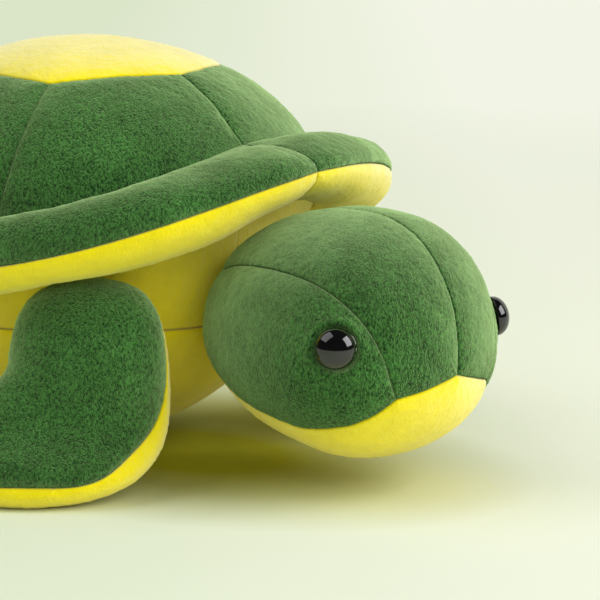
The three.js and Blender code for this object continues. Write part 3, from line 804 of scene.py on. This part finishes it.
def pile_material(name, tip, shade, sheen, hang, depth):
    """Short polyester pile, knitted in, sheared and brushed, so that its ends stand up in small tufts.

    The eye sees lit ends, painted shade between them, a painted pale sheen where it looks along the pile,
    and hardly more than a soft line where two panels are sewn. A fibre is too fine to show, so tufts are
    drawn.
    """
    finish = {"Roughness": 1.0, "Specular IOR Level": 0.1, "Sheen Weight": 0.5, "Sheen Roughness": 0.45}
    material, shader, place = new_material(name, tip, {**finish, "Sheen Tint": (*sheen, 1)})
    tuft = settings().fabric.tuft
    # Tufts and single ends: lit ends in the tip colour, with painted shade between them
    hanging = add_node(material, "VectorMath", {0: place, 1: (1, 1, 0.6)}, operation="MULTIPLY")
    tufts = add_node(material, "TexNoise", features(hanging, tuft, 2.0, 0.3))
    tufts = add_node(material, "MapRange", stretch(tufts, 0.3, 0.66))
    ends = add_node(material, "TexNoise", features(hanging, 0.5 * tuft))
    ends = add_node(material, "MapRange", stretch(ends, 0.3, 0.7))
    raised = add_node(material, "Math", {0: ends, 1: 0.8, 2: tufts}, operation="MULTIPLY_ADD")
    raised = add_node(material, "MapRange", stretch(raised, 0.2, 1.5))
    coloured = add_node(material, "Mix", two_colours(raised, shade, tip), MIXED, data_type="RGBA")

    # Painted sheen: the colour turns to the sheen colour where the surface is seen edge on
    # hang tilts the normal it is worked out from, so that above 0 a side that faces up gets less of it
    outwards = add_node(material, "TexCoord", output="Normal")
    sheen_tilted_normal = add_node(material, "VectorMath", {0: outwards, 1: (0, 0, -hang)}, operation="ADD")
    sheen_tilted_normal = add_node(material, "VectorMath", {0: sheen_tilted_normal}, operation="NORMALIZE")
    grazing = add_node(material, "LayerWeight", {"Normal": sheen_tilted_normal, "Blend": 0.5}, "Facing")
    grazing = add_node(material, "Math", {0: grazing, 1: 1.8}, operation="POWER")
    # Painted light: an underside is taken as less lit and gets hardly any painted sheen
    up = {0: outwards, 1: (0, 0, 1)}
    height = add_node(material, "VectorMath", up, "Value", operation="DOT_PRODUCT")
    lit = add_node(material, "MapRange", stretch(height, -0.7, 0.05, 0.15, 1.0))
    grazing = add_node(material, "Math", {0: grazing, 1: lit}, operation="MULTIPLY")
    painted_sheen_mix = {SHARE: grazing, FROM_COLOUR: coloured, TO_COLOUR: (*sheen, 1)}
    painted_sheen_colour = add_node(material, "Mix", painted_sheen_mix, MIXED, data_type="RGBA")

    # Painted shade darkens the seams and a ring round each eye; handling leaves wide, faint patches
    seam = add_node(material, "Attribute", output="Fac", attribute_name="seam_distance")
    light = add_node(material, "MapRange", stretch(seam, 0.0001, 0.0007, 0.82, 1.0))
    faint = 0.1 * depth
    for size, detail in ((0.008, 2.0), (0.028, 1.0)):
        patches = add_node(material, "TexNoise", features(place, size, detail))
        patches = add_node(material, "MapRange", stretch(patches, 0.35, 0.65, 1 - faint, 1 + faint))
        light = add_node(material, "Math", {0: light, 1: patches}, operation="MULTIPLY")
    colour_seen = add_node(material, "HueSaturation", {"Color": painted_sheen_colour, "Value": light})
    relief = {"Height": tufts, "Distance": 0.0005, "Strength": 0.7 * depth}
    relief = add_node(material, "Bump", relief)
    relief = {"Height": ends, "Distance": 0.0003, "Strength": 0.6 * depth, "Normal": relief}
    set_inputs(shader, {"Base Color": colour_seen, "Normal": add_node(material, "Bump", relief)})
    return material


def make_green_pile(name, hang):
    """Deep pile in bottle green, whose tips catch the light."""
    colours = settings().colours
    tones = (colours.green, colours.green_shade, colours.green_sheen)
    return pile_material(name, *tones, hang, depth=1.0)


def make_yellow_pile(name):
    """Pile in lemon yellow, so bright that its tufts hardly show."""
    colours = settings().colours
    tones = (colours.yellow, colours.yellow_shade, colours.yellow_sheen)
    return pile_material(name, *tones, hang=0.2, depth=0.3)


def make_loose_fibre(name):
    """Blown polyester fibre: white, matt and tangled, with soft clumps about 6 mm wide."""
    finish = {"Roughness": 1.0, "Sheen Weight": 0.3}
    material, shader, place = new_material(name, linear("#f1f0ea"), finish)
    clumps = add_node(material, "TexNoise", features(place, 0.006, 3.0, 1.0))
    strands = add_node(material, "TexNoise", features(place, 0.0009, 2.0, 2.5))
    shaded = add_node(material, "MapRange", stretch(clumps, 0.3, 0.7))
    shades = two_colours(shaded, linear("#dcdbd2"), linear("#f7f6f1"))
    relief = add_node(material, "Bump", {"Height": clumps, "Distance": 0.002, "Strength": 0.5})
    relief = {"Height": strands, "Distance": 0.0005, "Strength": 0.7, "Normal": relief}
    white = add_node(material, "Mix", shades, MIXED, data_type="RGBA")
    set_inputs(shader, {"Base Color": white, "Normal": add_node(material, "Bump", relief)})
    return material


def make_gloss_black(name):
    """ABS moulded in a polished mould: a deep gloss with sharp reflections, hardly marked by handling."""
    material, shader, place = new_material(name, linear("#040405"), {"Roughness": 0.06, "IOR": 1.7})
    smears = add_node(material, "TexNoise", features(place, 0.003, 3.0, 0.8))
    dulled = add_node(material, "MapRange", stretch(smears, 0.35, 0.75, 0.05, 0.12))
    relief = add_node(material, "Bump", {"Height": smears, "Distance": 0.00002, "Strength": 0.3})
    set_inputs(shader, {"Roughness": dulled, "Normal": relief})
    return material


def make_white_plastic(name):
    """Natural polypropylene: milky white, half matt, with the fine grain of a cheap mould."""
    material, shader, place = new_material(name, linear("#e6e6e0"), {"Roughness": 0.42, "IOR": 1.49})
    clouds = add_node(material, "TexNoise", features(place, 0.004, 2.0))
    clouds = add_node(material, "MapRange", stretch(clouds, 0.3, 0.7))
    shades = two_colours(clouds, linear("#dadad2"), linear("#ecece7"))
    milky = add_node(material, "Mix", shades, MIXED, data_type="RGBA")
    grain = add_node(material, "TexNoise", features(place, 0.0004))
    relief = add_node(material, "Bump", {"Height": grain, "Distance": 0.00005, "Strength": 0.5})
    set_inputs(shader, {"Base Color": milky, "Normal": relief})
    return material


def make_studio_floor(name):
    """Matt painted board, swept up into a wall. Past the shadow it shows the eye its own even colour."""
    colours = settings().colours
    finish = {"Roughness": 0.9, "Specular IOR Level": 0.1}
    material, shader, place = new_material(name, colours.floor_right, finish)
    # Painted light falloff: the board is darker and greener to the left, away from the strongest lamp
    across = add_node(material, "VectorMath", {0: place, 1: RIGHT}, "Value", operation="DOT_PRODUCT")
    shade = add_node(material, "MapRange", stretch(across, -0.12, 0.16))
    shades = two_colours(shade, colours.floor_left, colours.floor_right)
    paint = add_node(material, "Mix", shades, MIXED, data_type="RGBA")

    # Painted shadow and painted yellow bounce light: an oval under the toy turns dark olive yellow
    moved, narrowed = (0, 0.02, 0), (13, 8.8, 0)
    under = add_node(material, "VectorMath", {0: place, 1: moved}, operation="ADD")
    under = add_node(material, "VectorMath", {0: under, 1: narrowed}, operation="MULTIPLY")
    under = add_node(material, "VectorMath", {0: under}, "Value", operation="LENGTH")
    under = add_node(material, "MapRange", stretch(under, 0.3, 1.1, 1.0, 0.0))
    painted_shadow_mix = {SHARE: under, FROM_COLOUR: paint, TO_COLOUR: (*colours.painted_yellow_floor_shadow, 1)}
    paint = add_node(material, "Mix", painted_shadow_mix, MIXED, data_type="RGBA")

    # The even colour is for the eye, straight on, mirrored or through something clear
    out = add_node(material, "VectorMath", {0: place}, "Value", operation="LENGTH")
    far = add_node(material, "MapRange", stretch(out, 0.25, 1.0))
    seen = add_node(material, "LightPath", output="Is Camera Ray")
    for kind in ("Is Glossy Ray", "Is Transmission Ray"):
        ray = add_node(material, "LightPath", output=kind)
        seen = add_node(material, "Math", {0: seen, 1: ray}, operation="MAXIMUM")
    far = add_node(material, "Math", {0: far, 1: seen}, operation="MULTIPLY")
    even = add_node(material, "Emission", {"Color": paint})
    set_inputs(shader, {"Base Color": paint})
    both = add_node(material, "MixShader", {0: far, 1: shader.outputs["BSDF"], 2: even})
    set_inputs(material.node_tree.nodes["Material Output"], {"Surface": both})
    return material


def give_material(obj, name, make, *values):
    """Gives an object the material of this name, and makes it where it isn't there yet."""
    obj.data.materials.clear()
    obj.data.materials.append(bpy.data.materials.get(name) or make(name, *values))


# Pieces


def place_piece(obj, body, node):
    """Lets a piece stand for its node and move with its body."""
    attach(obj, body)
    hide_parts(node)


def green_panel(obj, body, node):
    """The head's material tilts its painted sheen, so that more of it falls on the head's top and sides."""
    name, hang = "short_polyester_pile_green", 0.4
    if body == "head":
        name, hang = "short_polyester_pile_green_brushed_back", -0.3
    give_material(obj, name, make_green_pile, hang)
    place_piece(obj, body, node)


def yellow_panel(obj, body, node):
    give_material(obj, "short_polyester_pile_yellow", make_yellow_pile)
    place_piece(obj, body, node)


def loose_stuffing(obj, body, node):
    give_material(obj, "polyester_fibre_filling", make_loose_fibre)
    place_piece(obj, body, node)


def brim_place(turtle, s, side):
    """Half round the brim, at the same places as the side panels of the shell."""
    k, share = which_part(s, 3)
    return side * mix(brim_angle(turtle.shell, k), brim_angle(turtle.shell, k + 1), share)


def ring_place(turtle, s):
    """Once round the toy, by the left and back by the right."""
    there, back = brim_place(turtle, 2 * s, 1), brim_place(turtle, 2 - 2 * s, -1)
    return np.where(s < 0.5, there, back)


class TURTLE_OT_shell(bpy.types.Operator):
    """Makes the yellow crown of the shell and the six green panels round it"""

    bl_idname = "turtle.shell"
    bl_label = "Shell"

    def execute(self, context):
        turtle = settings()
        crown = lambda s, t, depth=0.0: crown_point(turtle.shell, s, t, depth)
        yellow_panel(fabric_panel("crown_fabric", crown, ["end"]), "torso", "shell_crown")
        names = ["front_left", "side_left", "rear_left", "rear_right", "side_right", "front_right"]
        for k, name in enumerate(names):
            place = lambda s, t, depth=0.0: shell_side_point(turtle, k, s, t, depth)
            side = fabric_panel(f"shell_fabric_{name}", place, ["left", "right", "start"], ["end"])
            green_panel(side, "torso", f"shell_{name}")
        return {"FINISHED"}


class TURTLE_OT_brim(bpy.types.Operator):
    """Makes the padded brim round the shell: green above, yellow below, with its stuffing"""

    bl_idname = "turtle.brim"
    bl_label = "Brim"

    def execute(self, context):
        turtle = settings()
        brim = turtle.brim

        def pinch(*from_ends):
            sharpness = 1.5
            near = [np.exp(-((away / brim.pinch_width) ** sharpness)) for away in from_ends]
            return brim.pinch * sum(near)

        def wrapped(side, turn):
            return lambda s, t, depth=0.0: brim_point(turtle, brim_place(turtle, s, side), turn * t, depth)

        edges = {"sewn": ["left", "right", "start"], "lapped": ["end"], "pinch": pinch}
        for name, side in SIDES:
            upper = fabric_panel(f"brim_top_{name}", wrapped(side, brim.crease), uneven=2.6, **edges)
            green_panel(upper, "torso", f"brim_upper_{name}")
            lower = fabric_panel(f"brim_underside_{name}", wrapped(side, -brim.crease), uneven=1.3, **edges)
            yellow_panel(lower, "torso", f"brim_lower_{name}")

        def padding(s, t, depth=0.0):
            turn = 2 * pi * t
            return brim_point(turtle, ring_place(turtle, s), np.where(turn > pi, turn - 2 * pi, turn), depth)

        loose_stuffing(stuffing("brim_stuffing", padding), "torso", "brim_filling")
        return {"FINISHED"}


class TURTLE_OT_body(bpy.types.Operator):
    """Makes the two flanks, the belly and the stuffing of body and shell"""

    bl_idname = "turtle.body"
    bl_label = "Body"

    def execute(self, context):
        turtle = settings()
        for name, side in SIDES:
            flank = lambda s, t, depth=0.0: flank_point(turtle, brim_place(turtle, s, side), 1 - t, depth)
            edges = {"sewn": ["right", "end"], "lapped": ["left", "start"]}
            panel = fabric_panel(f"flank_fabric_{name}", flank, uneven=0.1, **edges)
            yellow_panel(panel, "torso", f"body_flank_{name}")
        belly = lambda s, t, depth=0.0: belly_point(turtle.body, ring_place(turtle, s), t * pi / 2, depth)
        yellow_panel(fabric_panel("belly_fabric", belly, ["start"], step=1.2), "torso", "body_belly")

        # From the dome's top down to its crease, in to the flanks, and down them and under the belly
        crease, flank_top, seam = 0.45, 0.5, 0.7

        def stuffed(s, t, depth=0.0):
            angle = ring_place(turtle, s)
            down = crease_down(turtle, angle) * np.clip(t / crease, 0, 1)
            dome = dome_point(turtle.shell, angle, down, depth)
            fallen = np.clip((t - flank_top) / (seam - flank_top), 0, 1)
            flank = flank_point(turtle, angle, 1 - fallen, depth)
            under = belly_point(turtle.body, angle, np.clip((t - seam) / (1 - seam), 0, 1) * pi / 2, depth)
            lower = np.where((t < seam)[..., None], flank, under)
            return mix(dome, lower, np.clip((t - crease) / (flank_top - crease), 0, 1)[..., None])

        loose_stuffing(stuffing("body_stuffing", stuffed), "torso", "torso_filling")
        return {"FINISHED"}


def eye_frame(turtle, side):
    """Where an eye sits on the head, and which way it faces."""
    eyes = turtle.eyes
    around = side * eyes.from_top
    surface = lambda s, t, depth=0.0: head_point(turtle.head, eyes.from_nose + t, around + s, depth)
    here = surface(0.0, 0.0)
    step, inward = 0.005, 0.001
    out = np.cross(surface(0.0, step) - here, surface(step, 0.0) - here) * -side
    out /= np.linalg.norm(out)
    return here, out * (1 if np.dot(out, here - surface(0.0, 0.0, inward)) > 0 else -1)


class TURTLE_OT_head(bpy.types.Operator):
    """Makes the five panels of the head and its stuffing"""

    bl_idname = "turtle.head"
    bl_label = "Head"

    def execute(self, context):
        turtle = settings()
        head, eyes = turtle.head, turtle.eyes
        edges = {"sewn": ["left", "right"], "lapped": ["end"]}
        dents = []
        for name, side in SIDES:
            here, _ = eye_frame(turtle, side)
            # The room for the shank and for the washer is a fifth wider than they are
            eye = {"place": here, "radius": eyes.diameter / 2, "sink": eyes.sink, "hole": 0.6 * eyes.shank}
            dents.append((here, 0.6 * eyes.washer, eyes.shank_length))
            middle = lambda from_nose: 0 * from_nose
            upper = lambda from_nose: side * side_seam(head, from_nose)
            lower = lambda from_nose: side * chin_seam(head, from_nose)
            crown = gore(head, middle, upper, 0)
            crown = fabric_panel(f"crown_of_head_{name}", crown, eye=eye, **edges)
            green_panel(crown, "head", f"head_crown_{name}")
            cheek = gore(head, upper, lower, head.mouth_corner)
            cheek = fabric_panel(f"cheek_fabric_{name}", cheek, eye=eye, **edges)
            green_panel(cheek, "head", f"head_cheek_{name}")
        left = lambda from_nose: chin_seam(head, from_nose)
        right = lambda from_nose: 2 * pi - chin_seam(head, from_nose)
        chin = fabric_panel("chin_fabric", gore(head, left, right, 0), **edges)
        yellow_panel(chin, "head", "head_chin")
        whole = lambda s, t, depth=0.0: head_point(head, pi * t, 2 * pi * s, depth)
        loose_stuffing(stuffing("head_stuffing", whole, dents), "head", "head_filling")
        return {"FINISHED"}


def profile_edges(bm, points):
    """The points and edges of a line, to be spun or swept."""
    verts = [bm.verts.new(point) for point in points]
    return verts, [bm.edges.new(pair) for pair in zip(verts, verts[1:])]


def spun(name, profile, steps=64):
    """A closed body of revolution about Z from a profile of radius and height."""
    bm = bmesh.new()
    verts, edges = profile_edges(bm, [(radius, 0, height) for radius, height in profile])
    turn = {"cent": (0, 0, 0), "axis": (0, 0, 1), "angle": 2 * pi, "steps": steps, "use_merge": True}
    bmesh.ops.spin(bm, geom=verts + edges, **turn)
    bmesh.ops.remove_doubles(bm, verts=bm.verts[:], dist=1e-6)
    bmesh.ops.recalc_face_normals(bm, faces=bm.faces[:])
    return mesh_from(bm, name)


class TURTLE_OT_eyes(bpy.types.Operator):
    """Makes the two domed eyes with their shanks, and finishes the washers that hold them"""

    bl_idname = "turtle.eyes"
    bl_label = "Eyes"

    def execute(self, context):
        turtle = settings()
        eyes = turtle.eyes
        radius, shank, seat = eyes.diameter / 2, eyes.shank / 2, eyes.lift
        profile = [(0, -eyes.shank_length), (shank, -eyes.shank_length), (shank, seat)]

        # The underside's edge is broken, and from the straight edge the dome rises in a quarter of an oval
        break_in, break_up, quarter = 0.0003, 0.0002, 24
        profile += [(radius - break_in, seat), (radius, seat + break_up)]
        dome_rise = eyes.rise - (eyes.edge - eyes.lift)
        arc = [i * pi / 2 / quarter for i in range(quarter)]
        profile += [(radius * cos(a), eyes.edge + dome_rise * sin(a)) for a in arc]
        profile.append((0, eyes.edge + dome_rise))
        for name, side in SIDES:
            here, out = eye_frame(turtle, side)
            mesh = spun(f"safety_eye_{name}", profile)
            turn = Vector((0, 0, 1)).rotation_difference(Vector(out)).to_matrix().to_4x4()
            turn.translation = Vector(here)
            mesh.transform(turn)
            eye = add_object(mesh)
            give_material(eye, "polished_abs_black", make_gloss_black)
            place_piece(eye, "head", f"eye_{name}")
            washer = frame["nodes"][f"eye_washer_{name}"]
            give_material(washer, "moulded_polypropylene_white", make_white_plastic)
        return {"FINISHED"}


class TURTLE_OT_flippers(bpy.types.Operator):
    """Makes the four flippers: green on top, yellow beneath, stuffed, each sewn shut and set on the body"""

    bl_idname = "turtle.flippers"
    bl_label = "Flippers"

    def execute(self, context):
        turtle = settings()
        for where, paddle in (("front", turtle.front_flipper), ("rear", turtle.rear_flipper)):
            for name, side in SIDES:
                body = f"flipper_{where}_{name}"
                # A flipper swings so far that its pile and the flank's both need room
                root = paddle_root(turtle, paddle, side) + 2 * turtle.fabric.joint_gap
                slope = resting_slope(turtle, paddle, root)
                top, under = [paddle_panel(paddle, root, slope, side, turn) for turn in (1, -1)]
                whole = lambda s, t, depth=0.0: paddle_point(paddle, root, slope, side, 2 * pi * s, t, depth)
                seams = ["left", "right"]
                upper = fabric_panel(f"{body}_upper_fabric", top, seams, uneven=0.6)
                green_panel(upper, body, f"{body}_top")
                lower = fabric_panel(f"{body}_lower_fabric", under, seams)
                yellow_panel(lower, body, f"{body}_underside")
                loose_stuffing(stuffing(f"{body}_stuffing", whole), body, f"{body}_filling")
        return {"FINISHED"}


# Stage

# Two soft boxes hang over the toy, and a weaker one stands by the camera. For each, how far right, forward
# and up of the toy it is, its size and watts, and whether the eyes mirror it
SOFT_BOXES = {
    "soft_box_right": (2.2, -0.7, 1.5, (2.2, 1.9), 62, True),
    "soft_box_left": (-1.5, -0.3, 2.0, (2.2, 1.9), 20, True),
    "soft_box_front": (0.6, -2.6, 1.1, (1.6, 1.0), 18, False),
}
LIT_PLACE = (0, 0, 0.06)

# The camera's place and aim, and its lens in millimetres
CAMERA_PLACE = (-0.6697, -0.6873, 0.2151)
CAMERA_AIM = (0.0529, -0.0182, 0.0415)
CAMERA_LENS = 183


def aim_at(obj, place, aim):
    """Puts a lamp or camera in its place, turned to what it is aimed at, and adds it to the scene."""
    obj.location = place
    obj.rotation_euler = (Vector(aim) - Vector(place)).to_track_quat("-Z", "Y").to_euler()
    bpy.context.scene.collection.objects.link(obj)


def soft_light(name, right, forward, up, size, watts, mirrored):
    lamp = bpy.data.lights.new(name, "AREA")
    lamp.shape = "RECTANGLE"
    lamp.size, lamp.size_y = size
    lamp.energy = watts
    obj = bpy.data.objects.new(name, lamp)
    obj.visible_glossy = mirrored
    place = Vector(LIT_PLACE) + right * Vector(RIGHT) + forward * Vector(FORWARD) + up * Vector((0, 0, 1))
    aim_at(obj, place, LIT_PLACE)


class TURTLE_OT_stage(bpy.types.Operator):
    """Sets up the floor and backdrop, the soft lights and the camera"""

    bl_idname = "turtle.stage"
    bl_label = "Stage"

    def execute(self, context):
        scene = context.scene

        # A floor that curves up into a wall, swept sideways
        near, far, top, half_width, curve = -6, 2.5, 5, 8, 1
        arc = [i * pi / 24 for i in range(1, 13)]
        line = [(near, 0), (far, 0)] + [(far + curve * sin(a), curve * (1 - cos(a))) for a in arc]
        line.append((far + curve, top))
        bm = bmesh.new()
        _, edges = profile_edges(bm, [(-half_width, y, z) for y, z in line])
        swept = bmesh.ops.extrude_edge_only(bm, edges=edges)["geom"]
        swept = [part for part in swept if isinstance(part, bmesh.types.BMVert)]
        bmesh.ops.translate(bm, vec=(2 * half_width, 0, 0), verts=swept)
        bmesh.ops.recalc_face_normals(bm, faces=bm.faces[:])
        bmesh.ops.rotate(bm, verts=bm.verts[:], matrix=Matrix.Rotation(-VIEW_TURN, 3, "Z"))
        floor = add_object(mesh_from(bm, "studio_floor"))
        give_material(floor, "painted_board", make_studio_floor)

        # The glossy eyes mirror the dark room over the table, and the soft boxes in it
        world = bpy.data.worlds.new("studio_light")
        world.use_nodes = True
        mirrored = add_node(world, "LightPath", output="Is Glossy Ray")
        strength = add_node(world, "MapRange", stretch(mirrored, 0, 1, 0.32, 0.05))
        light = {"Color": (*linear("#fbfdf2"), 1), "Strength": strength}
        set_inputs(world.node_tree.nodes["Background"], light)
        scene.world = world
        for name, settled in SOFT_BOXES.items():
            soft_light(name, *settled)

        camera = bpy.data.cameras.new("photograph_view")
        camera.sensor_width = 36
        camera.lens = CAMERA_LENS
        camera.clip_start, camera.clip_end = 0.01, 30
        view = bpy.data.objects.new("photograph_view", camera)
        aim_at(view, CAMERA_PLACE, CAMERA_AIM)
        scene.camera = view
        scene.view_settings.view_transform = "Standard"
        return {"FINISHED"}


class TURTLE_PT_panel(bpy.types.Panel):
    """Lists the steps that make the turtle"""

    bl_idname = "TURTLE_PT_panel"
    bl_label = "Plush Sea Turtle"
    bl_space_type = "VIEW_3D"
    bl_region_type = "UI"
    bl_category = "Turtle"

    def draw(self, context):
        for step in STEPS:
            self.layout.operator(step.bl_idname)


SIZES = (
    TURTLE_PG_fabric,
    TURTLE_PG_body,
    TURTLE_PG_shell,
    TURTLE_PG_brim,
    TURTLE_PG_head,
    TURTLE_PG_eyes,
    TURTLE_PG_front_flipper,
    TURTLE_PG_rear_flipper,
    TURTLE_PG_colours,
    TURTLE_PG_turtle,
)
STEPS = (
    TURTLE_OT_shell,
    TURTLE_OT_brim,
    TURTLE_OT_body,
    TURTLE_OT_head,
    TURTLE_OT_eyes,
    TURTLE_OT_flippers,
    TURTLE_OT_stage,
)
CLASSES = (*SIZES, *STEPS, TURTLE_PT_panel)


def register():
    for cls in CLASSES:
        bpy.utils.register_class(cls)
    bpy.types.Scene.turtle = PointerProperty(type=TURTLE_PG_turtle)


def unregister():
    del bpy.types.Scene.turtle
    for cls in reversed(CLASSES):
        bpy.utils.unregister_class(cls)


def main():
    register()
    bpy.ops.turtle.shell()
    bpy.ops.turtle.brim()
    bpy.ops.turtle.body()
    bpy.ops.turtle.head()
    bpy.ops.turtle.eyes()
    bpy.ops.turtle.flippers()
    bpy.ops.turtle.stage()


if __name__ == "__main__":
    main()
